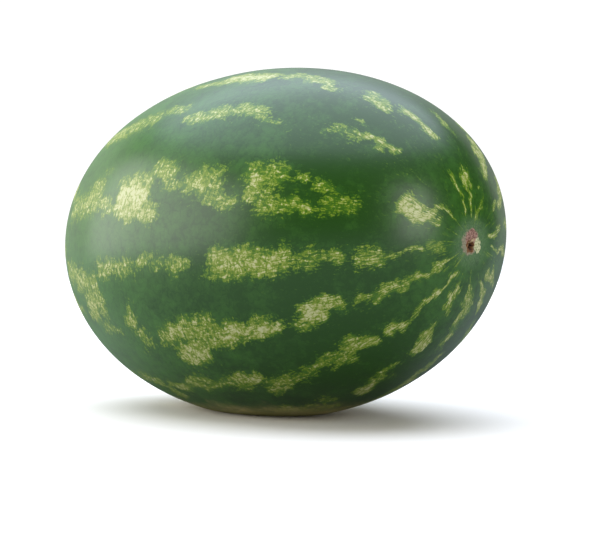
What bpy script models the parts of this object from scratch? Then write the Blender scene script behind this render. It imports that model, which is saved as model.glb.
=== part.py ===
"""A whole oblong watermelon, lying on the small flat spot that it grew on.

Frame: metres, +Z up. The origin is the middle of the fruit's footprint, on the surface it rests on.
+X runs along the fruit towards the end with the stem scar, which rides a little higher than the other.

The fruit is one solid. A round ball is stretched by a rule into the melon: long, a little fuller at its
shoulders than an ellipsoid, with a nearly straight back. Its growth poles carry the two scars, and the
underside is flattened where it lay on the soil.
"""

import math

import bmesh
import bpy
import numpy as np

# Driving dimensions
HALF_LENGTH = 0.1817
HALF_WIDTH = 0.1228     # before the shoulders and the taper change it
SHOULDER = 0.031        # share by which the round sections grow from the waist towards the ends
STEM_TAPER = 0.008      # share by which the round sections shrink towards the stem end
END_LIFT = 0.0046       # how far the ends stand above the line of the waist
NOSE_UP = math.radians(3.3)     # the stem end rides higher than the blossom end
POLE_DROP = math.radians(6.1)   # the scars sit off the long axis, the stem scar below it

GROUND_DEPTH = 0.0045   # how much of the underside the ground spot takes away
GROUND_BLEND = 0.0020   # the spot's edge runs out over this height, above and below its plane

STEM_SCAR_RADIUS = 0.0078       # corky ring that the stalk left
STEM_SCAR_DEPTH = 0.0014
STEM_PIT_RADIUS = 0.0028        # where the stalk's core dried out
STEM_PIT_DEPTH = 0.0022
STEM_HOLLOW_RADIUS = 0.030      # the rind dips towards the stalk over this distance
STEM_HOLLOW_DEPTH = 0.0012

BLOSSOM_HOLLOW_RADIUS = 0.024
BLOSSOM_HOLLOW_DEPTH = 0.0012
BLOSSOM_BUTTON_RADIUS = 0.0045  # dry button that the flower left
BLOSSOM_BUTTON_HEIGHT = 0.0007

RIND_COLOUR = (0.070, 0.155, 0.050, 1.0)    # dark green and the pale stripes together, linear
RIND_ROUGHNESS = 0.38

SEGMENTS = 72
RINGS = 60
POLE_CROWDING = 0.80    # 0 spaces the rings evenly, and near 1 they crowd towards the scars


def clear_scene():
    for obj in list(bpy.data.objects):
        bpy.data.objects.remove(obj, do_unlink=True)


def bump(distance, radius):
    """1 at the middle, falling smoothly to 0 at the radius and beyond."""
    share = np.clip(1.0 - (distance / radius) ** 2, 0.0, 1.0)
    return share * share


def pole_axes():
    """The ball's directions: towards the stem scar, across the fruit, and upwards."""
    stem = np.array([math.cos(POLE_DROP), 0.0, -math.sin(POLE_DROP)])
    across = np.array([0.0, 1.0, 0.0])
    upward = np.array([math.sin(POLE_DROP), 0.0, math.cos(POLE_DROP)])
    return stem, across, upward


def crowd_rings(ball):
    """Moves the ball's rings towards its +Z and -Z poles, where the scars need them."""
    polar = np.arccos(np.clip(ball[:, 2], -1.0, 1.0))
    around = np.arctan2(ball[:, 1], ball[:, 0])
    polar = polar - POLE_CROWDING * np.sin(2.0 * polar) / 2.0
    ring = np.sin(polar)
    return np.column_stack([ring * np.cos(around), ring * np.sin(around), np.cos(polar)]), polar


def melon_shape(ball):
    """The ball stretched along its long axis into the fruit, before it is tipped and flattened."""
    along, side, height = ball[:, 0], ball[:, 1], ball[:, 2]
    radius = HALF_WIDTH * (1.0 - STEM_TAPER * along + SHOULDER * (along ** 2 - 1.0 / 3.0))
    return np.column_stack([HALF_LENGTH * along, radius * side, radius * height + END_LIFT * along ** 2])


def scar_relief(polar):
    """How far the surface stands out along the pole's direction, at this angle from the stem pole."""
    from_stem = HALF_WIDTH * polar
    from_blossom = HALF_WIDTH * (math.pi - polar)
    stem = (STEM_HOLLOW_DEPTH * bump(from_stem, STEM_HOLLOW_RADIUS)
            + STEM_SCAR_DEPTH * bump(from_stem, STEM_SCAR_RADIUS)
            + STEM_PIT_DEPTH * bump(from_stem, STEM_PIT_RADIUS))
    blossom = (BLOSSOM_HOLLOW_DEPTH * bump(from_blossom, BLOSSOM_HOLLOW_RADIUS)
               - BLOSSOM_BUTTON_HEIGHT * bump(from_blossom, BLOSSOM_BUTTON_RADIUS))
    return blossom - stem


def tip_nose_up(points):
    cos_up, sin_up = math.cos(NOSE_UP), math.sin(NOSE_UP)
    x, y, z = points.T
    return np.column_stack([cos_up * x - sin_up * z, y, sin_up * x + cos_up * z])


def flatten_ground_spot(points):
    """Stands the fruit on z = 0: the lowest part becomes a true flat, and its edge runs out smoothly."""
    height = points[:, 2] - (points[:, 2].min() + GROUND_DEPTH)
    blend = np.clip(GROUND_BLEND - np.abs(height), 0.0, None)
    points[:, 2] = np.maximum(height, 0.0) + blend ** 2 / (4.0 * GROUND_BLEND)
    return points


def centre_footprint(points):
    points[:, :2] -= (points[:, :2].max(axis=0) + points[:, :2].min(axis=0)) / 2.0
    return points


def rind_material():
    material = bpy.data.materials.new("rind")
    material.use_nodes = True
    shader = material.node_tree.nodes["Principled BSDF"]
    shader.inputs["Base Color"].default_value = RIND_COLOUR
    shader.inputs["Roughness"].default_value = RIND_ROUGHNESS
    shader.inputs["Metallic"].default_value = 0.0
    material.diffuse_color = RIND_COLOUR
    return material


def make_watermelon(collection):
    bpy.ops.mesh.primitive_uv_sphere_add(segments=SEGMENTS, ring_count=RINGS, radius=1.0)
    melon = bpy.context.active_object
    melon.name = "watermelon"
    melon.data.name = "watermelon"
    for other in list(melon.users_collection):
        other.objects.unlink(melon)
    collection.objects.link(melon)

    ball = np.empty(len(melon.data.vertices) * 3)
    melon.data.vertices.foreach_get("co", ball)
    ball, polar = crowd_rings(ball.reshape(-1, 3))
    stem, across, upward = pole_axes()
    ball = np.outer(ball[:, 0], across) + np.outer(ball[:, 1], upward) + np.outer(ball[:, 2], stem)
    points = melon_shape(ball) + np.outer(scar_relief(polar), stem)
    points = centre_footprint(flatten_ground_spot(tip_nose_up(points)))
    melon.data.vertices.foreach_set("co", points.ravel())

    mesh = bmesh.new()
    mesh.from_mesh(melon.data)
    bmesh.ops.recalc_face_normals(mesh, faces=mesh.faces)
    mesh.to_mesh(melon.data)
    mesh.free()
    melon.data.shade_smooth()
    melon.data.materials.append(rind_material())
    return melon


def main():
    clear_scene()
    collection = bpy.data.collections.new("watermelon")
    bpy.context.scene.collection.children.link(collection)
    make_watermelon(collection)


main()
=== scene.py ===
"""The looks of a whole oblong watermelon: its fine striped rind and its scars, on a white studio floor."""

import math
from collections import namedtuple

import bpy
import numpy as np
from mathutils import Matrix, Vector


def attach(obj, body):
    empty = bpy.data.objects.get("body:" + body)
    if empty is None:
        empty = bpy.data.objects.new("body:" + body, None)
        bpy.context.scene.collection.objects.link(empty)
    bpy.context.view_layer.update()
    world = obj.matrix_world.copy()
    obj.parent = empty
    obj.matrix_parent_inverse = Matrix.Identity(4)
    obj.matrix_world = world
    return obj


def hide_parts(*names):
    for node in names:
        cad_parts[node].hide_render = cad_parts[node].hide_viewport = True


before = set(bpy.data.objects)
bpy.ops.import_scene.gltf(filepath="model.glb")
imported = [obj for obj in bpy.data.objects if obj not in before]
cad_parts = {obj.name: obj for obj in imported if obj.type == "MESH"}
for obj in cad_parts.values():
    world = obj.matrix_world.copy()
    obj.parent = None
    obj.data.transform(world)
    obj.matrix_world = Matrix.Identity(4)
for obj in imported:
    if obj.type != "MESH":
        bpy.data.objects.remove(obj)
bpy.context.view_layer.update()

# The rule of the fruit's shape, in metres and radians
RIND_SIZES = {
    # the whole fruit, its ground spot and the hollows at its ends, as the solid has them
    "Half Length": 0.1817,
    "Half Width": 0.1228,           # before the shoulders and the taper change it
    "Shoulder": 0.031,              # share by which the round sections grow from the waist to the ends
    "Stem Taper": 0.008,            # share by which they shrink towards the stem end
    "End Lift": 0.0046,             # how far the ends stand above the line of the waist
    "Nose Up": math.radians(3.3),   # the stem end rides higher than the blossom end
    "Pole Drop": math.radians(6.1),     # the scars sit off the long axis, the stem scar below it
    "Ground Depth": 0.0045,         # how much of the underside the ground spot takes away
    "Ground Blend": 0.0020,         # its edge runs out over this height, above and below its plane
    "Stem Hollow Radius": 0.030,
    "Stem Hollow Depth": 0.0012,
    "Blossom Hollow Radius": 0.024,
    "Blossom Hollow Depth": 0.0012,
    # the scars, in finer relief than the solid's
    "Cork Radius": 0.0080,          # dry cork that the stalk left
    "Cork Depth": 0.0010,
    "Cork Grain": 0.0017,
    "Cork Roughness": 0.0011,
    "Pit Radius": 0.0034,           # where the stalk's core dried out
    "Pit Depth": 0.0042,
    "Pit Drop": 0.0019,             # it lies this far below the cork's middle
    "Button Radius": 0.0045,        # dry button that the flower left
    "Button Height": 0.0009,
    # the mesh, the shallow lumps that it is grown with, and the noise that its stripes wander by
    "Segments": 300,
    "Rings": 330,
    "Ring Crowding": 0.80,          # 0 spaces the rings evenly, and near 1 they crowd towards the scars
    "Lump Size": 0.060,
    "Lump Height": 0.0007,
    "Waver Size": 0.013,
    "Seed": 4.0,
}
HALF_WIDTH = RIND_SIZES["Half Width"]

# The yellowed skin that lay on the soil, in metres
SPOT_HALF_LENGTH = 0.075
SPOT_HALF_WIDTH = 0.048
SPOT_TOP = 0.060        # it climbs the fruit's sides no higher than this
SPOT_FADE_END = 1.6     # its colour thins out until it is this many half sizes from the middle

# The camera, a little above the fruit's middle: how far it is turned from -Y towards +X and how far it looks
# down, in degrees; what it looks at and from how far away, in metres; and its lens in millimetres
VIEW_TURN = 46.17
VIEW_PITCH = 1.588
VIEW_AIM = Vector((0.0152, 0.0156, 0.0931))
VIEW_DISTANCE = 1.1145
LENS = 93.35

# Pale patches on the stripes of the side towards the camera. Each row is a patch: where it starts and ends,
# in degrees from the stem scar; the side it lies on at each of those, in degrees round the fruit from -Y
# over the top; half its width in the same degrees; and how pale it is, from 0.5 for yellow-green lace to
# 1 or more for solid cream.
SEEN_PATCHES = [
    # the broad stripe at the camera's eye level
    (16.0, 26.5, 27, 26, 8.5, 1.16),
    (12.5, 15.5, 27, 25, 6.0, 0.75),
    (10.0, 18.0, 43, 37, 3.5, 0.55),
    (35.0, 46.0, 18, 18, 5.5, 0.52),
    (43.0, 48.0, 24, 24, 3.0, 0.55),
    (49.0, 53.0, 26, 26, 2.0, 0.75),
    (46.0, 54.0, 15, 16, 2.0, 0.78),
    (50.0, 61.0, 14, 15, 5.0, 0.58),
    (55.0, 66.0, 24, 24, 5.5, 0.62),
    (59.5, 64.0, 20, 19, 5.5, 0.95),
    (66.0, 72.0, 14, 14, 2.5, 0.75),
    (69.0, 79.0, 20, 20, 6.0, 0.68),
    (73.5, 79.5, 18, 19, 4.0, 0.88),
    (79.0, 86.0, 19, 20, 2.5, 0.60),
    (82.0, 92.0, 24, 23, 3.0, 0.78),
    (89.5, 101.0, 16, 15, 6.5, 1.20),
    (86.0, 100.0, 10, 10, 3.0, 1.00),
    (100.0, 109.0, 12, 12, 2.5, 0.82),
    (107.0, 115.0, 18, 15, 7.0, 0.80),
    (113.0, 126.0, 13, 13, 6.0, 0.70),
    # the stripe below it
    (10.0, 15.0, -4, -5, 7.0, 0.70),
    (16.0, 19.5, -8, -7, 2.5, 0.92),
    (19.0, 28.0, -7, -7, 3.0, 0.50),
    (27.5, 36.0, -7, -7, 6.0, 0.62),
    (28.5, 34.0, -9, -7, 3.0, 0.90),
    (38.0, 42.0, -5, -6, 3.5, 0.80),
    (42.0, 50.0, -6, -6, 4.5, 0.55),
    (50.0, 70.0, -5, -5, 5.0, 0.92),
    (75.0, 80.5, -6, -6, 3.5, 0.85),
    (80.0, 87.0, -5, -6, 3.0, 0.50),
    (87.0, 90.0, -5, -5, 2.0, 0.85),
    (91.0, 107.0, -7, -8, 3.5, 0.75),
    (106.0, 122.0, -15, -15, 5.5, 0.80),
    (118.0, 130.0, -12, -14, 5.0, 0.70),
    # the stripe above it
    (33.0, 39.5, 55, 53, 2.8, 1.00),
    (38.0, 43.5, 52, 51, 2.2, 0.95),
    (36.5, 40.5, 49, 49, 2.2, 0.80),
    (43.0, 53.0, 50, 49, 3.5, 0.48),
    (45.0, 49.0, 56, 56, 1.4, 0.70),
    (64.0, 69.0, 45, 46, 1.5, 0.62),
    (68.5, 78.0, 48, 48, 3.2, 0.78),
    (78.0, 84.0, 46, 44, 3.5, 0.74),
    (83.0, 91.0, 44, 43, 2.2, 0.82),
    (91.5, 98.5, 48, 47, 3.0, 0.72),
    (100.0, 114.0, 45, 43, 4.6, 0.74),
    (112.0, 124.0, 43, 43, 4.6, 0.76),
    # the stripe along the shoulder
    (8.0, 16.0, 72, 72, 1.6, 0.85),
    (15.5, 21.5, 74, 73, 3.0, 0.64),
    (30.5, 45.0, 80, 79, 2.6, 1.00),
    (44.5, 55.0, 73, 72, 2.8, 0.88),
    (46.0, 56.0, 77, 76, 1.8, 0.68),
    (59.5, 65.0, 68, 70, 1.8, 0.88),
    (64.0, 77.0, 72, 71, 3.4, 0.80),
    (78.5, 93.0, 67, 67, 4.2, 1.12),
    (92.0, 101.0, 64, 63, 2.2, 0.88),
    # the stripes over the top
    (8.0, 15.0, 87, 87, 3.0, 0.72),
    (14.5, 22.0, 89, 89, 4.5, 0.92),
    (35.0, 44.0, 96, 97, 2.2, 0.62),
    (6.5, 13.5, 104, 115, 5.0, 0.62),
    (15.0, 16.5, 108, 108, 2.5, 0.90),
    (22.0, 38.0, 117, 117, 5.0, 0.98),
    (14.0, 19.0, 139, 139, 4.0, 0.68),
    (19.0, 31.0, 143, 143, 6.0, 0.96),
]

# Every stripe: the side it runs along, and how far from the stem scar its patches above reach. Past that,
# and all round the back and underside, patches of the same kind are drawn at random.
STRIPES = [
    (-6, 130), (20, 126), (46, 124), (69, 101), (94, 78), (117, 38), (142, 31), (167, 8),
    (190, 8), (214, 8), (237, 8), (261, 8), (284, 8), (308, 8), (331, 8),
]
STRIPE_FAINT = 0.10         # the least paleness along a stripe's middle, where only flecks show
STRIPE_HALF_WIDTH = 8.0     # degrees
BLOSSOM_STOP = 171.0        # degrees from the stem scar, where the last patches end

# The patches drawn at random, each of parts that overlap so that none is a block. Pairs are a least and a
# most, and all is in degrees but for the shares and the paleness.
STRIPE_SEED = 11
FIRST_GAP = (0.0, 4.0)
PATCH_LENGTH = (7.0, 20.0)
PATCH_GAP = (-4.0, 5.0)         # below 0 a patch starts before the last one ends
PART_LEADS = (0.0, 0.25, 0.5)   # shares of the patch's length at which its parts start
PART_LENGTH = (0.35, 0.65)      # shares of the patch's length
LAST_PART_LENGTH = 3.0          # left for a part that would start too near the blossom end
PART_STRAY = 2.2                # spread of the parts' middles about the stripe's
PART_DRIFT = 1.2                # and of how far each drifts to one side from its start to its end
PART_HALF_WIDTH = (2.0, 5.2)
PART_PALENESS = (0.50, 1.10)

# The edges of all patches
SIDE_SHARPNESS = 3              # the power by which a patch falls off to its sides
SOFT_END = 2.2                  # degrees over which it starts and ends
SOFT_END_SHARE = 0.4            # but no more than this share of its length
WAVER_REACH = 0.020             # metres for the whole swing of the noise, of which most points use a third
LEAST_RING = 0.3                # the waver counts no ring as smaller than this share of the waist


def linear(colour):
    """A hex colour as the linear values that shaders take."""
    channels = [int(colour[i:i + 2], 16) / 255 for i in (1, 3, 5)]
    return [c / 12.92 if c <= 0.04045 else ((c + 0.055) / 1.055) ** 2.4 for c in channels] + [1.0]


def add(tree, kind, inputs=None, output=0, **settings):
    """Adds a node with its settings. An input takes a value, or another node's output. Returns an output."""
    node = tree.nodes.new(kind)
    for name, value in settings.items():
        setattr(node, name, value)
    for key, value in (inputs or {}).items():
        if isinstance(value, bpy.types.NodeSocket):
            tree.links.new(value, node.inputs[key])
        else:
            node.inputs[key].default_value = value
    return node.outputs[output]


# ---- The rind's shape ----

def scar_relief(tree, given, polar, scar_place):
    """How far the skin stands out along the pole: hollows, sunken cork, its pit, and the dry button."""
    from_stem = add(tree, "ShaderNodeMath", {0: polar, 1: given["Half Width"]}, operation="MULTIPLY")
    beyond = add(tree, "ShaderNodeMath", {0: math.pi, 1: polar}, operation="SUBTRACT")
    from_blossom = add(tree, "ShaderNodeMath", {0: beyond, 1: given["Half Width"]}, operation="MULTIPLY")

    # the cork's ragged edge and grain
    grain_scale = add(tree, "ShaderNodeMath", {0: 1.0, 1: given["Cork Grain"]}, operation="DIVIDE")
    grain = add(tree, "ShaderNodeTexNoise",
                {"Vector": scar_place, "W": given["Seed"], "Scale": grain_scale, "Detail": 3.0},
                noise_dimensions="4D")
    edge = add(tree, "ShaderNodeMath", {0: grain, 1: 0.5}, operation="SUBTRACT")
    ragged = add(tree, "ShaderNodeMath", {0: edge, 1: given["Cork Radius"], 2: from_stem},
                 operation="MULTIPLY_ADD")
    pit_centre = add(tree, "ShaderNodeMath", {0: given["Pit Drop"], 1: -1.0}, operation="MULTIPLY")
    pit_centre = add(tree, "ShaderNodeCombineXYZ", {"Y": pit_centre, "Z": given["Half Width"]})
    from_pit = add(tree, "ShaderNodeVectorMath", {0: scar_place, 1: pit_centre}, output="Value",
                   operation="DISTANCE")
    from_pit = add(tree, "ShaderNodeMath", {0: edge, 1: given["Pit Radius"], 2: from_pit},
                   operation="MULTIPLY_ADD")

    relief = 0.0
    for distance, reach, depth, sign in (
        (from_stem, "Stem Hollow Radius", "Stem Hollow Depth", -1.0),
        (ragged, "Cork Radius", "Cork Depth", -1.0),
        (from_pit, "Pit Radius", "Pit Depth", -1.0),
        (from_blossom, "Blossom Hollow Radius", "Blossom Hollow Depth", 1.0),
        (from_blossom, "Button Radius", "Button Height", -1.0),
    ):
        amount = add(tree, "ShaderNodeMath", {0: given[depth], 1: sign}, operation="MULTIPLY")
        dent = add(tree, "ShaderNodeMapRange",
                   {"Value": distance, "From Min": 0.0, "From Max": given[reach], "To Min": amount,
                    "To Max": 0.0}, interpolation_type="SMOOTHERSTEP")
        relief = add(tree, "ShaderNodeMath", {0: dent, 1: relief}, operation="ADD")
    in_cork = add(tree, "ShaderNodeMapRange",
                  {"Value": ragged, "From Min": 0.0, "From Max": given["Cork Radius"], "To Min": 1.0,
                   "To Max": 0.0}, interpolation_type="SMOOTHSTEP")
    rough = add(tree, "ShaderNodeMath", {0: edge, 1: given["Cork Roughness"]}, operation="MULTIPLY")
    rough = add(tree, "ShaderNodeMath", {0: rough, 1: in_cork}, operation="MULTIPLY")
    return add(tree, "ShaderNodeMath", {0: rough, 1: relief}, operation="ADD")


def stand_on_ground(tree, given, shaped):
    """Stands the fruit on z = 0, over its footprint's middle, where its lowest part becomes a true flat."""
    here = add(tree, "GeometryNodeInputPosition")
    span = add(tree, "GeometryNodeAttributeStatistic", {"Geometry": shaped, "Attribute": here},
               data_type="FLOAT_VECTOR").node
    lowest = span.outputs["Min"]
    highest = span.outputs["Max"]
    floor = add(tree, "ShaderNodeCombineXYZ", {"Z": given["Ground Depth"]})
    floor = add(tree, "ShaderNodeVectorMath", {0: lowest, 1: floor}, operation="ADD")
    middle = add(tree, "ShaderNodeVectorMath", {0: lowest, 1: highest}, operation="ADD")
    middle = add(tree, "ShaderNodeVectorMath", {0: middle, "Scale": 0.5}, operation="SCALE")
    floor = add(tree, "ShaderNodeSeparateXYZ", {0: floor}, output="Z")
    middle = add(tree, "ShaderNodeSeparateXYZ", {0: middle}, output=0).node.outputs
    origin = add(tree, "ShaderNodeCombineXYZ", {"X": middle["X"], "Y": middle["Y"], "Z": floor})
    stood = add(tree, "ShaderNodeVectorMath", {0: here, 1: origin}, operation="SUBTRACT")
    stood = add(tree, "ShaderNodeSeparateXYZ", {0: stood}, output=0).node.outputs
    depth = add(tree, "ShaderNodeMath", {0: stood["Z"]}, operation="ABSOLUTE")
    blend = add(tree, "ShaderNodeMath", {0: given["Ground Blend"], 1: depth}, operation="SUBTRACT")
    blend = add(tree, "ShaderNodeMath", {0: blend, 1: 0.0}, operation="MAXIMUM")
    blend = add(tree, "ShaderNodeMath", {0: blend, 1: 2.0}, operation="POWER")
    four_blends = add(tree, "ShaderNodeMath", {0: given["Ground Blend"], 1: 4.0}, operation="MULTIPLY")
    blend = add(tree, "ShaderNodeMath", {0: blend, 1: four_blends}, operation="DIVIDE")
    height = add(tree, "ShaderNodeMath", {0: stood["Z"], 1: 0.0}, operation="MAXIMUM")
    height = add(tree, "ShaderNodeMath", {0: height, 1: blend}, operation="ADD")
    final = add(tree, "ShaderNodeCombineXYZ", {"X": stood["X"], "Y": stood["Y"], "Z": height})
    return add(tree, "GeometryNodeSetPosition", {"Geometry": shaped, "Position": final})


def rind_tree(sizes):
    """Grows the fruit: a ball whose rings crowd towards the scars, stretched, dented, tipped and stood."""
    tree = bpy.data.node_groups.new("melon_rind", "GeometryNodeTree")
    tree.interface.new_socket("Geometry", in_out="OUTPUT", socket_type="NodeSocketGeometry")
    for name, value in sizes.items():
        kind = "NodeSocketInt" if isinstance(value, int) else "NodeSocketFloat"
        tree.interface.new_socket(name, in_out="INPUT", socket_type=kind)
    tree.interface.new_socket("Rind", in_out="INPUT", socket_type="NodeSocketMaterial")
    given = tree.nodes.new("NodeGroupInput").outputs

    ball = add(tree, "GeometryNodeMeshUVSphere", {"Segments": given["Segments"], "Rings": given["Rings"]})

    # angles on the ball: how far from the stem scar, and round it
    place = add(tree, "GeometryNodeInputPosition")
    place = add(tree, "ShaderNodeSeparateXYZ", {0: place}, output=0).node.outputs
    even = add(tree, "ShaderNodeMath", {0: place["Z"]}, operation="ARCCOSINE")
    twice = add(tree, "ShaderNodeMath", {0: even, 1: 2.0}, operation="MULTIPLY")
    wave = add(tree, "ShaderNodeMath", {0: twice}, operation="SINE")
    half_crowding = add(tree, "ShaderNodeMath", {0: given["Ring Crowding"], 1: -0.5}, operation="MULTIPLY")
    polar = add(tree, "ShaderNodeMath", {0: wave, 1: half_crowding, 2: even}, operation="MULTIPLY_ADD")
    around = add(tree, "ShaderNodeMath", {0: place["Y"], 1: place["X"]}, operation="ARCTAN2")
    ring = add(tree, "ShaderNodeMath", {0: polar}, operation="SINE")
    to_stem = add(tree, "ShaderNodeMath", {0: polar}, operation="COSINE")
    cos_around = add(tree, "ShaderNodeMath", {0: around}, operation="COSINE")
    sin_around = add(tree, "ShaderNodeMath", {0: around}, operation="SINE")
    to_side = add(tree, "ShaderNodeMath", {0: ring, 1: cos_around}, operation="MULTIPLY")
    to_top = add(tree, "ShaderNodeMath", {0: ring, 1: sin_around}, operation="MULTIPLY")

    # the same ball with its stem pole along +X, turned down to where the scar sits
    poled = add(tree, "ShaderNodeCombineXYZ", {"X": to_stem, "Y": to_side, "Z": to_top})
    turned = add(tree, "ShaderNodeVectorRotate", {"Vector": poled, "Angle": given["Pole Drop"]},
                 rotation_type="Y_AXIS")
    pole = add(tree, "ShaderNodeVectorRotate", {"Vector": (1.0, 0.0, 0.0), "Angle": given["Pole Drop"]},
               rotation_type="Y_AXIS")
    along = add(tree, "ShaderNodeSeparateXYZ", {0: turned})
    along_squared = add(tree, "ShaderNodeMath", {0: along, 1: along}, operation="MULTIPLY")

    # stretched into the melon, fuller at its shoulders
    waist = add(tree, "ShaderNodeMath", {0: given["Shoulder"], 1: -1.0 / 3.0, 2: 1.0},
                operation="MULTIPLY_ADD")
    fuller = add(tree, "ShaderNodeMath", {0: along_squared, 1: given["Shoulder"], 2: waist},
                 operation="MULTIPLY_ADD")
    against_taper = add(tree, "ShaderNodeMath", {0: given["Stem Taper"], 1: -1.0}, operation="MULTIPLY")
    share = add(tree, "ShaderNodeMath", {0: along, 1: against_taper, 2: fuller}, operation="MULTIPLY_ADD")
    radius = add(tree, "ShaderNodeMath", {0: share, 1: given["Half Width"]}, operation="MULTIPLY")
    stretch = add(tree, "ShaderNodeCombineXYZ", {"X": given["Half Length"], "Y": radius, "Z": radius})
    melon = add(tree, "ShaderNodeVectorMath", {0: turned, 1: stretch}, operation="MULTIPLY")
    lift = add(tree, "ShaderNodeMath", {0: along_squared, 1: given["End Lift"]}, operation="MULTIPLY")
    lift = add(tree, "ShaderNodeCombineXYZ", {"Z": lift})
    melon = add(tree, "ShaderNodeVectorMath", {0: melon, 1: lift}, operation="ADD")

    # flat distances round each scar, in metres: across, upwards, and how far towards the stem
    scar_place = add(tree, "ShaderNodeCombineXYZ", {"X": to_side, "Y": to_top, "Z": to_stem})
    scar_place = add(tree, "ShaderNodeVectorMath", {0: scar_place, "Scale": given["Half Width"]},
                     operation="SCALE")
    relief = scar_relief(tree, given, polar, scar_place)
    dented = add(tree, "ShaderNodeVectorMath", {0: pole, "Scale": relief}, operation="SCALE")
    melon = add(tree, "ShaderNodeVectorMath", {0: melon, 1: dented}, operation="ADD")

    # broad shallow lumps, so that a highlight's edge wavers as on grown fruit
    lump_scale = add(tree, "ShaderNodeMath", {0: 1.0, 1: given["Lump Size"]}, operation="DIVIDE")
    lump = add(tree, "ShaderNodeTexNoise",
               {"Vector": melon, "W": given["Seed"], "Scale": lump_scale, "Detail": 1.0},
               noise_dimensions="4D")
    lump = add(tree, "ShaderNodeMath", {0: lump, 1: 0.5}, operation="SUBTRACT")
    lump = add(tree, "ShaderNodeMath", {0: lump, 1: given["Lump Height"]}, operation="MULTIPLY")
    outwards = add(tree, "ShaderNodeVectorMath", {0: turned, "Scale": lump}, operation="SCALE")
    melon = add(tree, "ShaderNodeVectorMath", {0: melon, 1: outwards}, operation="ADD")

    # tipped nose up
    against_nose = add(tree, "ShaderNodeMath", {0: given["Nose Up"], 1: -1.0}, operation="MULTIPLY")
    melon = add(tree, "ShaderNodeVectorRotate", {"Vector": melon, "Angle": against_nose},
                rotation_type="Y_AXIS")

    # what the pattern follows is kept on the points before they move, with a waver for its patches
    waver_scale = add(tree, "ShaderNodeMath", {0: 1.0, 1: given["Waver Size"]}, operation="DIVIDE")
    waver = add(tree, "ShaderNodeTexNoise",
                {"Vector": melon, "W": given["Seed"], "Scale": waver_scale, "Detail": 2.0},
                output="Color", noise_dimensions="4D")
    kept = add(tree, "GeometryNodeStoreNamedAttribute",
               {"Geometry": ball, "Name": "stem_angle", "Value": polar}, data_type="FLOAT")
    kept = add(tree, "GeometryNodeStoreNamedAttribute",
               {"Geometry": kept, "Name": "round_angle", "Value": around}, data_type="FLOAT")
    kept = add(tree, "GeometryNodeStoreNamedAttribute",
               {"Geometry": kept, "Name": "scar_place", "Value": scar_place}, data_type="FLOAT_VECTOR")
    kept = add(tree, "GeometryNodeStoreNamedAttribute",
               {"Geometry": kept, "Name": "waver", "Value": waver}, data_type="FLOAT_VECTOR")
    shaped = add(tree, "GeometryNodeSetPosition", {"Geometry": kept, "Position": melon})
    stood = stand_on_ground(tree, given, shaped)
    smooth = add(tree, "GeometryNodeSetShadeSmooth", {"Geometry": stood})
    real = add(tree, "GeometryNodeRealizeInstances", {"Geometry": smooth})
    dressed = add(tree, "GeometryNodeSetMaterial", {"Geometry": real, "Material": given["Rind"]})
    result = tree.nodes.new("NodeGroupOutput")
    tree.links.new(dressed, result.inputs["Geometry"])
    return tree


def grow(name, tree, values):
    """The object that a tree grows from these values, as a plain mesh with no modifier."""
    piece = bpy.data.objects.new(name, bpy.data.meshes.new(name))
    bpy.context.scene.collection.objects.link(piece)
    modifier = piece.modifiers.new("grow", "NODES")
    modifier.node_group = tree
    for socket in tree.interface.items_tree:
        if socket.in_out == "INPUT" and socket.name in values:
            modifier[socket.identifier] = values[socket.name]
    graph = bpy.context.evaluated_depsgraph_get()
    mesh = bpy.data.meshes.new_from_object(piece.evaluated_get(graph), preserve_all_data_layers=True,
                                           depsgraph=graph)
    piece.modifiers.clear()
    piece.data = mesh
    mesh.name = name
    return piece


# ---- Where the rind is pale ----

def read(mesh, name, width=1):
    """An attribute's values on the points: numbers, or rows of numbers where its width is more than 1."""
    values = np.empty(len(mesh.vertices) * width, np.float32)
    mesh.attributes[name].data.foreach_get("value" if width == 1 else "vector", values)
    return values if width == 1 else values.reshape(-1, width)


def write(mesh, name, values):
    """Gives the points an attribute: a number each, or a row of three."""
    layer = mesh.attributes.new(name, "FLOAT" if values.ndim == 1 else "FLOAT_VECTOR", "POINT")
    layer.data.foreach_set("value" if values.ndim == 1 else "vector", values.astype(np.float32).ravel())


def random_patches():
    """Patches for the back, the underside and the blossom end."""
    dice = np.random.default_rng(STRIPE_SEED)
    patches = []
    for side, reached in STRIPES:
        start = reached + dice.uniform(*FIRST_GAP)
        while start < BLOSSOM_STOP:
            length = dice.uniform(*PATCH_LENGTH)
            for lead in PART_LEADS:
                part_start = min(start + lead * length, BLOSSOM_STOP - LAST_PART_LENGTH)
                part_end = min(part_start + dice.uniform(*PART_LENGTH) * length, BLOSSOM_STOP)
                side_start = side + dice.normal(0.0, PART_STRAY)
                side_end = side_start + dice.normal(0.0, PART_DRIFT)
                half_width = dice.uniform(*PART_HALF_WIDTH)
                strength = dice.uniform(*PART_PALENESS)
                patches.append((part_start, part_end, side_start, side_end, half_width, strength))
            start += length + dice.uniform(*PATCH_GAP)
    return patches


def paleness(from_stem, side):
    """How pale the rind is at each point, 0 to about 1, before its lace and cracks."""
    pale = np.zeros_like(from_stem)
    for lane, _ in STRIPES:
        off = (side - lane + 180.0) % 360.0 - 180.0     # the short way round
        pale = np.maximum(pale, STRIPE_FAINT * np.exp(-(off / STRIPE_HALF_WIDTH) ** 2))
    for start, end, side_start, side_end, half_width, strength in SEEN_PATCHES + random_patches():
        middle = side_start + (side_end - side_start) * (from_stem - start) / (end - start)
        off = (side - middle + 180.0) % 360.0 - 180.0
        across = np.exp(-np.abs(off / half_width) ** SIDE_SHARPNESS)
        soft_end = min(SOFT_END, (end - start) * SOFT_END_SHARE)
        along = np.clip(np.minimum(from_stem - start, end - from_stem) / soft_end + 0.5, 0.0, 1.0)
        pale = np.maximum(pale, strength * across * along)
    return pale


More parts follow.
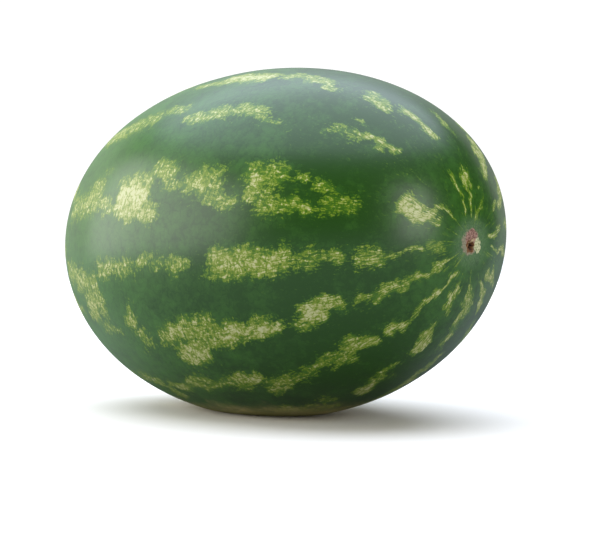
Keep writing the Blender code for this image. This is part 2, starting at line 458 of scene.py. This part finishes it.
def mark_rind(mesh):
    """Gives the points what the rind's colours read: paleness, a place along and round, the ground spot."""
    polar = read(mesh, "stem_angle")
    around = read(mesh, "round_angle")
    # the patches' outlines waver by a few millimetres, and sides are counted from -Y over the top
    waver = (read(mesh, "waver", 3) - 0.5) * WAVER_REACH / HALF_WIDTH
    bent_polar = np.degrees(polar + waver[:, 0])
    bent_side = 180.0 - np.degrees(around + waver[:, 1] / np.maximum(np.sin(polar), LEAST_RING))
    write(mesh, "paleness", paleness(bent_polar, bent_side))
    # one unit of this place is a metre on the skin at the waist, and streaks narrow towards the scars
    place = np.column_stack([HALF_WIDTH * np.cos(around), HALF_WIDTH * np.sin(around),
                             RIND_SIZES["Half Length"] * polar])
    write(mesh, "grown_place", place)
    points = np.empty(len(mesh.vertices) * 3, np.float32)
    mesh.vertices.foreach_get("co", points)
    x, y, z = points.reshape(-1, 3).T
    away = np.sqrt((x / SPOT_HALF_LENGTH) ** 2 + (y / SPOT_HALF_WIDTH) ** 2)
    low = np.clip(1.0 - z / SPOT_TOP, 0.0, 1.0)
    write(mesh, "ground_spot", np.clip(SPOT_FADE_END - away, 0.0, 1.0) * low)


# ---- The rind's skin ----

# The greens under the pale marks: the deepest, the lighter one of clouds and of the ends, and the yellower
# one inside a patch. The deepest gathers in a band a quarter of the way along from the stem scar, which is
# painted shade; the lighter far end is partly the rind's own colour
DEEP_GREEN = "#21470c"
LIGHT_GREEN = "#3f6f22"
PATCH_GREEN = "#456f12"
# painted shade: the green between the patches is darkest in a band this far from the stem scar
PAINTED_SHADE_AT = math.radians(44)   # from the stem scar

# Colours by level, from yellow-green lace to cream, and the ground spot's by its own noise
STRIPE_COLOURS = [
    (0.18, "#3f6a12"), (0.26, "#4d7314"), (0.34, "#5f7d14"), (0.55, "#7f922a"), (0.67, "#a9ac64"),
    (0.80, "#c0c28c"),
]
SPOT_COLOURS = [(0.00, "#b3ab62"), (0.12, "#d2c47e"), (0.30, "#ddd29a")]

# The marks in the rind, in metres. Real strokes, threads, cracks and pores are finer than 1 mm, too fine to
# show, so they are drawn about 1 mm wide.
BEND_SIZE = 0.008           # the marks in a patch wind over this distance
SOLID_BEND = 0.009          # and by this much for the whole swing of the noise, of which most use a third
GROWN_BEND = 0.007          # less for strokes
FLECK_SIZE = 0.0050
STROKE_WIDTH = 0.0018       # from one stroke to the next
THREAD_SIZE = 0.0055
CROSSING_SIZE = 0.0040
CRACK_CELL = 0.0052
CRACK_HALF_WIDTH = 0.0006
RAY_WIDTH = 0.011
CLOUD_SIZE = 0.020
VEIN_SIZE = 0.0060
SPOT_EDGE_SIZE = 0.018
PORE_SIZE = 0.0022
PORE_DEPTH = 0.0004

# What each kind of mark adds to the level, which picks the colour
FLECK_AMOUNT = 0.50
FEATHER_AMOUNT = 3.00
THREAD_AMOUNT = 0.13
CROSSING_AMOUNT = 0.11
AVERAGE_AMOUNT = 1.79       # what the four above come to, and is taken off
CRACK_AMOUNT = -0.28
PALE_AMOUNT = 0.66
THREAD_REACH = 0.06         # how far from its middle value a noise still counts as a thread

# What clouds and veins add to the share of the lighter green, and what makes the ground spot's edge ragged
CLOUD_AMOUNT = 2.2
VEIN_AMOUNT = -0.20
SPOT_EDGE_AMOUNT = 0.7


def ramp(tree, factor, stops):
    """Colours from stops of position and hex colour, looked up by the factor."""
    node = tree.nodes.new("ShaderNodeValToRGB")
    for index, (position, colour) in enumerate(stops):
        if index > 1:
            node.color_ramp.elements.new(position)
        node.color_ramp.elements[index].position = position
        node.color_ramp.elements[index].color = linear(colour)
    tree.links.new(factor, node.inputs["Fac"])
    return node.outputs["Color"]


def strokes(tree, place, width, length):
    """Noise drawn out into strokes, where length gives how far along each axis of the grown place."""
    drawn = add(tree, "ShaderNodeMapping", {"Vector": place, "Scale": [1.0 / side for side in length]})
    return add(tree, "ShaderNodeTexNoise",
               {"Vector": drawn, "Scale": 1 / width, "Detail": 3.0, "Roughness": 0.65})


def net(tree, place, cell, half_width):
    """A net of thin lines between cells: 1 on a line, 0 off it."""
    edge = add(tree, "ShaderNodeTexVoronoi", {"Vector": place, "Scale": 1 / cell}, output="Distance",
               feature="DISTANCE_TO_EDGE")
    return add(tree, "ShaderNodeMapRange",
               {"Value": edge, "From Min": 0.0, "From Max": half_width / cell, "To Min": 1.0,
                "To Max": 0.0}, interpolation_type="SMOOTHSTEP")


def threads(tree, place, size, seed):
    """Thin winding threads, where a noise passes through its middle value: 1 on a thread, 0 off it."""
    noise = add(tree, "ShaderNodeTexNoise",
                {"Vector": place, "W": seed, "Scale": 1 / size, "Detail": 1.5}, noise_dimensions="4D")
    off = add(tree, "ShaderNodeMath", {0: noise, 1: 0.5}, operation="SUBTRACT")
    off = add(tree, "ShaderNodeMath", {0: off}, operation="ABSOLUTE")
    return add(tree, "ShaderNodeMapRange",
               {"Value": off, "From Min": 0.0, "From Max": THREAD_REACH, "To Min": 1.0, "To Max": 0.0},
               interpolation_type="SMOOTHSTEP")


def rind_level(tree, solid):
    """How pale the skin is at its finest: the stripes' paleness broken into lace, feathers and cracks."""
    pale = add(tree, "ShaderNodeAttribute", output="Fac", attribute_name="paleness")
    grown = add(tree, "ShaderNodeAttribute", output="Vector", attribute_name="grown_place")

    # all of it winds by a few millimetres, so that no cell or stroke is straight
    bend = add(tree, "ShaderNodeTexNoise", {"Vector": solid, "Scale": 1 / BEND_SIZE, "Detail": 3.0},
               output="Color")
    bend = add(tree, "ShaderNodeVectorMath", {0: bend, 1: (0.5, 0.5, 0.5)}, operation="SUBTRACT")
    bent = add(tree, "ShaderNodeVectorMath", {0: bend, 1: (SOLID_BEND, SOLID_BEND, SOLID_BEND), 2: solid},
               operation="MULTIPLY_ADD")
    bent_grown = add(tree, "ShaderNodeVectorMath",
                     {0: bend, 1: (GROWN_BEND, GROWN_BEND, GROWN_BEND), 2: grown},
                     operation="MULTIPLY_ADD")

    # flecks: ragged cells a few millimetres across, in ever smaller steps
    fleck = add(tree, "ShaderNodeTexNoise",
                {"Vector": bent, "Scale": 1 / FLECK_SIZE, "Detail": 6.0, "Roughness": 0.75})
    # feathers: strokes that run along the fruit near the stem, and mostly cross it further on
    along = strokes(tree, bent_grown, STROKE_WIDTH, (1.0, 1.0, 4.5))
    across = strokes(tree, bent_grown, STROKE_WIDTH, (2.6, 2.6, 1.0))
    from_stem = add(tree, "ShaderNodeAttribute", output="Fac", attribute_name="stem_angle")
    crossed = add(tree, "ShaderNodeMapRange",
                  {"Value": from_stem, "From Min": math.radians(30), "From Max": math.radians(95),
                   "To Min": 0.15, "To Max": 0.70})
    feather = add(tree, "ShaderNodeMix", {"Factor": crossed, 2: along, 3: across}, data_type="FLOAT")
    # lace: pale threads that wind through the green, two nets of them over each other
    thread = threads(tree, bent, THREAD_SIZE, seed=0.0)
    crossing = threads(tree, bent, CROSSING_SIZE, seed=7.0)
    lace = -AVERAGE_AMOUNT
    for mark, amount in (
        (fleck, FLECK_AMOUNT),
        (feather, FEATHER_AMOUNT),
        (thread, THREAD_AMOUNT),
        (crossing, CROSSING_AMOUNT),
    ):
        lace = add(tree, "ShaderNodeMath", {0: mark, 1: amount, 2: lace}, operation="MULTIPLY_ADD")
    # the dark rind between the stripes only mottles faintly, and solid cream is calm but for its cracks
    strength = add(tree, "ShaderNodeMapRange",
                   {"Value": pale, "From Min": 0.03, "From Max": 0.45, "To Min": 0.35, "To Max": 1.0})
    calm = add(tree, "ShaderNodeMapRange",
               {"Value": pale, "From Min": 0.60, "From Max": 1.05, "To Min": 1.0, "To Max": 0.5})
    lace = add(tree, "ShaderNodeMath", {0: lace, 1: strength}, operation="MULTIPLY")
    lace = add(tree, "ShaderNodeMath", {0: lace, 1: calm}, operation="MULTIPLY")
    # cracks: green lines between the palest cells, that come and go
    crack = net(tree, bent, CRACK_CELL, CRACK_HALF_WIDTH)
    present = add(tree, "ShaderNodeMapRange",
                  {"Value": fleck, "From Min": 0.38, "From Max": 0.60, "To Min": 0.3, "To Max": 1.0})
    crack = add(tree, "ShaderNodeMath", {0: crack, 1: present}, operation="MULTIPLY")
    fine = add(tree, "ShaderNodeMath", {0: crack, 1: CRACK_AMOUNT, 2: lace}, operation="MULTIPLY_ADD")
    level = add(tree, "ShaderNodeMath", {0: pale, 1: PALE_AMOUNT, 2: fine}, operation="MULTIPLY_ADD")
    # rays: thin streaks that all run in to the scars
    ray = strokes(tree, grown, RAY_WIDTH, (1.0, 1.0, 3.0))
    ray = add(tree, "ShaderNodeMapRange",
              {"Value": ray, "From Min": 0.48, "From Max": 0.80, "To Min": -0.06, "To Max": 0.62})
    ring = add(tree, "ShaderNodeMath", {0: from_stem}, operation="SINE")
    near = add(tree, "ShaderNodeMapRange",
               {"Value": ring, "From Min": math.sin(math.radians(8)),
                "From Max": math.sin(math.radians(23)), "To Min": 1.0, "To Max": 0.0})
    return add(tree, "ShaderNodeMath", {0: ray, 1: near, 2: level}, operation="MULTIPLY_ADD")


def green_under_wax(tree, solid):
    """The rind between the patches: darkest a quarter of the way along as painted shade, lighter towards the
    ends, clouded, with darker veins.
    """
    from_stem = add(tree, "ShaderNodeAttribute", output="Fac", attribute_name="stem_angle")
    # painted shade: the green darkens towards a band a quarter of the way along from the stem scar and
    # lightens away from it towards both ends
    from_painted_shade = add(tree, "ShaderNodeMath", {0: from_stem, 1: PAINTED_SHADE_AT}, operation="SUBTRACT")
    from_painted_shade = add(tree, "ShaderNodeMath", {0: from_painted_shade}, operation="ABSOLUTE")
    lighter = add(tree, "ShaderNodeMapRange",
                  {"Value": from_painted_shade, "From Min": math.radians(5), "From Max": math.radians(65),
                   "To Min": 0.0, "To Max": 0.75})
    cloud = add(tree, "ShaderNodeTexNoise",
                {"Vector": solid, "Scale": 1 / CLOUD_SIZE, "Detail": 6.0, "Roughness": 0.80})
    cloud = add(tree, "ShaderNodeMath", {0: cloud, 1: CLOUD_AMOUNT, 2: -CLOUD_AMOUNT / 2},
                operation="MULTIPLY_ADD")
    share = add(tree, "ShaderNodeMath", {0: lighter, 1: cloud}, operation="ADD")
    vein = threads(tree, solid, VEIN_SIZE, seed=3.0)
    share = add(tree, "ShaderNodeMath", {0: vein, 1: VEIN_AMOUNT, 2: share}, operation="MULTIPLY_ADD",
                use_clamp=True)
    green = add(tree, "ShaderNodeMix", {"Factor": share, 6: linear(DEEP_GREEN), 7: linear(LIGHT_GREEN)},
                output=2, data_type="RGBA")
    # inside a patch even the green between the lace is yellower
    pale = add(tree, "ShaderNodeAttribute", output="Fac", attribute_name="paleness")
    inside = add(tree, "ShaderNodeMapRange",
                 {"Value": pale, "From Min": 0.25, "From Max": 0.65, "To Min": 0.0, "To Max": 0.85},
                 interpolation_type="SMOOTHSTEP")
    return add(tree, "ShaderNodeMix", {"Factor": inside, 6: green, 7: linear(PATCH_GREEN)}, output=2,
               data_type="RGBA")


def over_ground_spot(tree, colour, solid):
    """The skin that lay on the soil is creamy yellow, and runs out ragged into the green."""
    spot = add(tree, "ShaderNodeAttribute", output="Fac", attribute_name="ground_spot")
    ragged = add(tree, "ShaderNodeTexNoise",
                 {"Vector": solid, "Scale": 1 / SPOT_EDGE_SIZE, "Detail": 6.0, "Roughness": 0.7})
    ragged = add(tree, "ShaderNodeMath", {0: ragged, 1: SPOT_EDGE_AMOUNT, 2: -SPOT_EDGE_AMOUNT / 2},
                 operation="MULTIPLY_ADD")
    share = add(tree, "ShaderNodeMath", {0: spot, 1: ragged}, operation="ADD")
    cream = add(tree, "ShaderNodeMapRange",
                {"Value": share, "From Min": 0.25, "From Max": 0.75, "To Min": 0.0, "To Max": 0.92},
                interpolation_type="SMOOTHSTEP")
    return add(tree, "ShaderNodeMix", {"Factor": cream, 6: colour, 7: ramp(tree, ragged, SPOT_COLOURS)},
               output=2, data_type="RGBA")


# The layers of the scars, from the lowest, each a round or an oval with a ragged edge: its middle across and
# up from its pole, and its tilt in degrees; how it is drawn out across and up; its radius and the width of
# its edge, in metres; how much it covers; and its colours by grain
Layer = namedtuple("Layer", "pole across up tilt wide high radius edge cover colours")
STEM = HALF_WIDTH       # where each pole lies along the scars' flat distances
BLOSSOM = -HALF_WIDTH
SCAR_LAYERS = [
    # the pale skin round each scar
    Layer(STEM, across=0.0, up=0.0, tilt=0, wide=1.0, high=1.0, radius=0.0080, edge=0.0120, cover=0.36,
          colours=[(0.3, "#4c6b45"), (0.7, "#8ea380")]),
    Layer(BLOSSOM, across=0.0, up=0.0, tilt=0, wide=1.0, high=1.0, radius=0.0045, edge=0.0075, cover=0.60,
          colours=[(0.3, "#6f8a4c"), (0.7, "#a9b482")]),
    # the cork's worn edge
    Layer(STEM, across=-0.0008, up=0.0, tilt=0, wide=0.98, high=0.86, radius=0.0078, edge=0.0016, cover=0.90,
          colours=[(0.3, "#6f6a52"), (0.7, "#a3977c")]),
    # its granular top
    Layer(STEM, across=-0.0004, up=0.0028, tilt=0, wide=0.80, high=0.85, radius=0.0056, edge=0.0018,
          cover=1.00, colours=[(0.35, "#5d3a2d"), (0.6, "#b08a78")]),
    # the crust to its right
    Layer(STEM, across=0.0056, up=-0.0016, tilt=10, wide=0.62, high=0.92, radius=0.0044, edge=0.0012,
          cover=1.00, colours=[(0.35, "#7d8a55"), (0.55, "#cfcda0")]),
    # the pit, and its dark bottom
    Layer(STEM, across=-0.0008, up=-0.0020, tilt=-15, wide=0.86, high=0.92, radius=0.0036, edge=0.0016,
          cover=1.00, colours=[(0.35, "#5a3416"), (0.7, "#96683a")]),
    Layer(STEM, across=-0.0004, up=-0.0024, tilt=-15, wide=0.90, high=0.95, radius=0.0014, edge=0.0020,
          cover=0.95, colours=[(0.35, "#22100a"), (0.7, "#452410")]),
    # the ridge over the pit
    Layer(STEM, across=0.0004, up=0.0006, tilt=35, wide=1.9, high=0.30, radius=0.0018, edge=0.0010,
          cover=0.70, colours=[(0.35, "#a98c62"), (0.6, "#d8c79a")]),
    # the flower's button
    Layer(BLOSSOM, across=0.0, up=0.0, tilt=0, wide=1.0, high=1.0, radius=0.0036, edge=0.0014, cover=1.00,
          colours=[(0.35, "#4d3a26"), (0.65, "#957b56")]),
]
SCAR_GRAIN_SIZE = 0.0012
SCAR_WANDER_SIZE = 0.0022
SCAR_WANDER = 0.0060        # by how much the layers' edges wander, for the whole swing of the noise
CORK_ROUGHNESS = 0.78


def over_scars(tree, colour, rough):
    """Dry cork where the stalk was, granular above a brown pit, with a pale crust; the flower's button."""
    place = add(tree, "ShaderNodeAttribute", output="Vector", attribute_name="scar_place")
    grain = add(tree, "ShaderNodeTexNoise",
                {"Vector": place, "Scale": 1 / SCAR_GRAIN_SIZE, "Detail": 4.0, "Roughness": 0.6})
    wander = add(tree, "ShaderNodeTexNoise",
                 {"Vector": place, "Scale": 1 / SCAR_WANDER_SIZE, "Detail": 3.0})
    wander = add(tree, "ShaderNodeMath", {0: wander, 1: SCAR_WANDER, 2: -SCAR_WANDER / 2},
                 operation="MULTIPLY_ADD")
    for layer in SCAR_LAYERS:
        off = add(tree, "ShaderNodeVectorMath", {0: place, 1: (layer.across, layer.up, layer.pole)},
                  operation="SUBTRACT")
        off = add(tree, "ShaderNodeVectorRotate", {"Vector": off, "Angle": -math.radians(layer.tilt)},
                  rotation_type="Z_AXIS")
        off = add(tree, "ShaderNodeVectorMath", {0: off, 1: (1.0 / layer.wide, 1.0 / layer.high, 1.0)},
                  operation="MULTIPLY")
        away = add(tree, "ShaderNodeVectorMath", {0: off}, output="Value", operation="LENGTH")
        away = add(tree, "ShaderNodeMath", {0: away, 1: wander}, operation="ADD")
        cover = add(tree, "ShaderNodeMapRange",
                    {"Value": away, "From Min": layer.radius, "From Max": layer.radius + layer.edge,
                     "To Min": layer.cover, "To Max": 0.0}, interpolation_type="SMOOTHSTEP")
        colour = add(tree, "ShaderNodeMix",
                     {"Factor": cover, 6: colour, 7: ramp(tree, grain, layer.colours)},
                     output=2, data_type="RGBA")
        rough = add(tree, "ShaderNodeMix", {"Factor": cover, 2: rough, 3: CORK_ROUGHNESS},
                    data_type="FLOAT")
    return colour, rough


WAX_IOR = 1.45


def waxy_striped_rind():
    """Watermelon rind, grown, with its natural wax.

    The wax gives a broad soft gloss over dark green, duller where it is seen edge on. The stripes are pale
    cells under it, laced with green, and cream where they crowd. Cracks of green run between the palest
    cells. The scars are dry brown cork.
    """
    material = bpy.data.materials.new("waxy_striped_rind")
    material.use_nodes = True
    tree = material.node_tree
    skin = tree.nodes["Principled BSDF"]
    solid = add(tree, "ShaderNodeTexCoord", output="Object")
    level = rind_level(tree, solid)
    striped = add(tree, "ShaderNodeMapRange",
                  {"Value": level, "From Min": 0.12, "From Max": 0.30, "To Min": 0.0, "To Max": 1.0})
    colour = add(tree, "ShaderNodeMix",
                 {"Factor": striped, 6: green_under_wax(tree, solid), 7: ramp(tree, level, STRIPE_COLOURS)},
                 output=2, data_type="RGBA")
    colour = over_ground_spot(tree, colour, solid)
    # the wax is even, and a little duller over the pale cells
    rough = add(tree, "ShaderNodeMapRange",
                {"Value": level, "From Min": 0.3, "From Max": 0.9, "To Min": 0.32, "To Max": 0.42})
    # its bloom dulls it edge on
    edge_on = add(tree, "ShaderNodeLayerWeight", {"Blend": 0.5}, output="Facing")
    bloom = add(tree, "ShaderNodeMapRange",
                {"Value": edge_on, "From Min": 0.60, "From Max": 0.95, "To Min": 0.0, "To Max": 0.22})
    rough = add(tree, "ShaderNodeMath", {0: rough, 1: bloom}, operation="ADD")
    colour, rough = over_scars(tree, colour, rough)
    tree.links.new(colour, skin.inputs["Base Color"])
    tree.links.new(rough, skin.inputs["Roughness"])
    skin.inputs["IOR"].default_value = WAX_IOR
    pores = add(tree, "ShaderNodeTexNoise", {"Vector": solid, "Scale": 1 / PORE_SIZE, "Detail": 3.0})
    bump = add(tree, "ShaderNodeBump", {"Height": pores, "Strength": 0.12, "Distance": PORE_DEPTH})
    tree.links.new(bump, skin.inputs["Normal"])
    return material


# ---- The studio ----

FLOOR_SIZE = 12.0               # metres, past what any view takes in
FLOOR_SEEN = "#fff9ef"
FLOOR_LIGHTING = "#a4a4a4"
FLOOR_ROUGHNESS = 0.9
CEILING_COLOUR = "#e0ebff"
CEILING_SPREAD = math.radians(86)
WORLD_COLOUR = "#ffffff"
WORLD_LIGHTING = 0.09
WORLD_SEEN = 1.1


def studio_floor():
    """A floor of matt white vinyl, which gives soft grey shadows and no reflection.

    It is a warm white, so that it shows neutral under the cool ceiling. It is darker to all but the camera,
    so that little light comes back up under the fruit.
    """
    bpy.ops.mesh.primitive_plane_add(size=FLOOR_SIZE)
    floor = bpy.context.active_object
    floor.name = "studio_floor"
    material = bpy.data.materials.new("matt_white_vinyl")
    material.use_nodes = True
    tree = material.node_tree
    shader = tree.nodes["Principled BSDF"]
    seen = add(tree, "ShaderNodeLightPath", output="Is Camera Ray")
    colour = add(tree, "ShaderNodeMix", {"Factor": seen, 6: linear(FLOOR_LIGHTING), 7: linear(FLOOR_SEEN)},
                 output=2, data_type="RGBA")
    tree.links.new(colour, shader.inputs["Base Color"])
    shader.inputs["Roughness"].default_value = FLOOR_ROUGHNESS
    floor.data.materials.append(material)


def from_fruit(turn, lift):
    """A direction from the fruit, turned from the camera to its right, and lifted, in degrees."""
    turn = math.radians(VIEW_TURN + turn)
    lift = math.radians(lift)
    return Vector((math.sin(turn) * math.cos(lift), -math.cos(turn) * math.cos(lift), math.sin(lift)))


def facing_fruit(direction):
    """The turn that makes a light or a camera in this direction face the fruit."""
    return direction.to_track_quat("Z", "Y").to_euler()


def softbox(name, turn, lift, distance, width, height, watts):
    """A light panel that faces the fruit from a direction."""
    light = bpy.data.lights.new(name, "AREA")
    light.shape = "RECTANGLE"
    light.size = width
    light.size_y = height
    light.energy = watts
    panel = bpy.data.objects.new(name, light)
    direction = from_fruit(turn, lift)
    panel.location = Vector((0.0, 0.0, HALF_WIDTH)) + direction * distance
    panel.rotation_euler = facing_fruit(direction)
    panel.visible_camera = False
    bpy.context.scene.collection.objects.link(panel)


def ceiling_light(turn, lift, strength):
    """One broad even light, far off, so that the floor is as white at its edge as under the fruit."""
    light = bpy.data.lights.new("ceiling_light", "SUN")
    light.color = linear(CEILING_COLOUR)[:3]
    light.energy = strength
    light.angle = CEILING_SPREAD
    ceiling = bpy.data.objects.new("ceiling_light", light)
    ceiling.rotation_euler = facing_fruit(from_fruit(turn, lift))
    bpy.context.scene.collection.objects.link(ceiling)


def white_world():
    """A white background, which lights the fruit only faintly."""
    world = bpy.data.worlds.new("white_studio")
    world.use_nodes = True
    bpy.context.scene.world = world
    tree = world.node_tree
    dim = tree.nodes["Background"]
    dim.inputs["Color"].default_value = linear(WORLD_COLOUR)
    dim.inputs["Strength"].default_value = WORLD_LIGHTING
    bright = add(tree, "ShaderNodeBackground", {"Color": linear(WORLD_COLOUR), "Strength": WORLD_SEEN})
    seen = add(tree, "ShaderNodeLightPath", output="Is Camera Ray")
    both = add(tree, "ShaderNodeMixShader", {0: seen, 1: dim.outputs[0], 2: bright})
    tree.links.new(both, tree.nodes["World Output"].inputs["Surface"])


def studio_light():
    softbox("left_softbox", turn=-89, lift=14, distance=1.6, width=2.1, height=1.15, watts=28.5)
    softbox("right_softbox", turn=37, lift=10, distance=1.6, width=0.7, height=1.3, watts=13.5)
    softbox("back_softbox", turn=180, lift=14, distance=3.0, width=6.0, height=1.8, watts=33.0)
    ceiling_light(turn=-163, lift=76, strength=4.8)
    white_world()
    bpy.context.scene.view_settings.view_transform = "Standard"


def camera():
    lens = bpy.data.cameras.new("camera")
    lens.lens = LENS
    holder = bpy.data.objects.new("camera", lens)
    direction = from_fruit(turn=0.0, lift=VIEW_PITCH)
    holder.location = VIEW_AIM + direction * VIEW_DISTANCE
    holder.rotation_euler = facing_fruit(direction)
    bpy.context.scene.collection.objects.link(holder)
    bpy.context.scene.camera = holder


def main():
    camera()
    studio_floor()
    studio_light()
    rind = grow("rind", rind_tree(RIND_SIZES), {**RIND_SIZES, "Rind": waxy_striped_rind()})
    mark_rind(rind.data)
    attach(rind, "root")
    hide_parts("watermelon")


main()
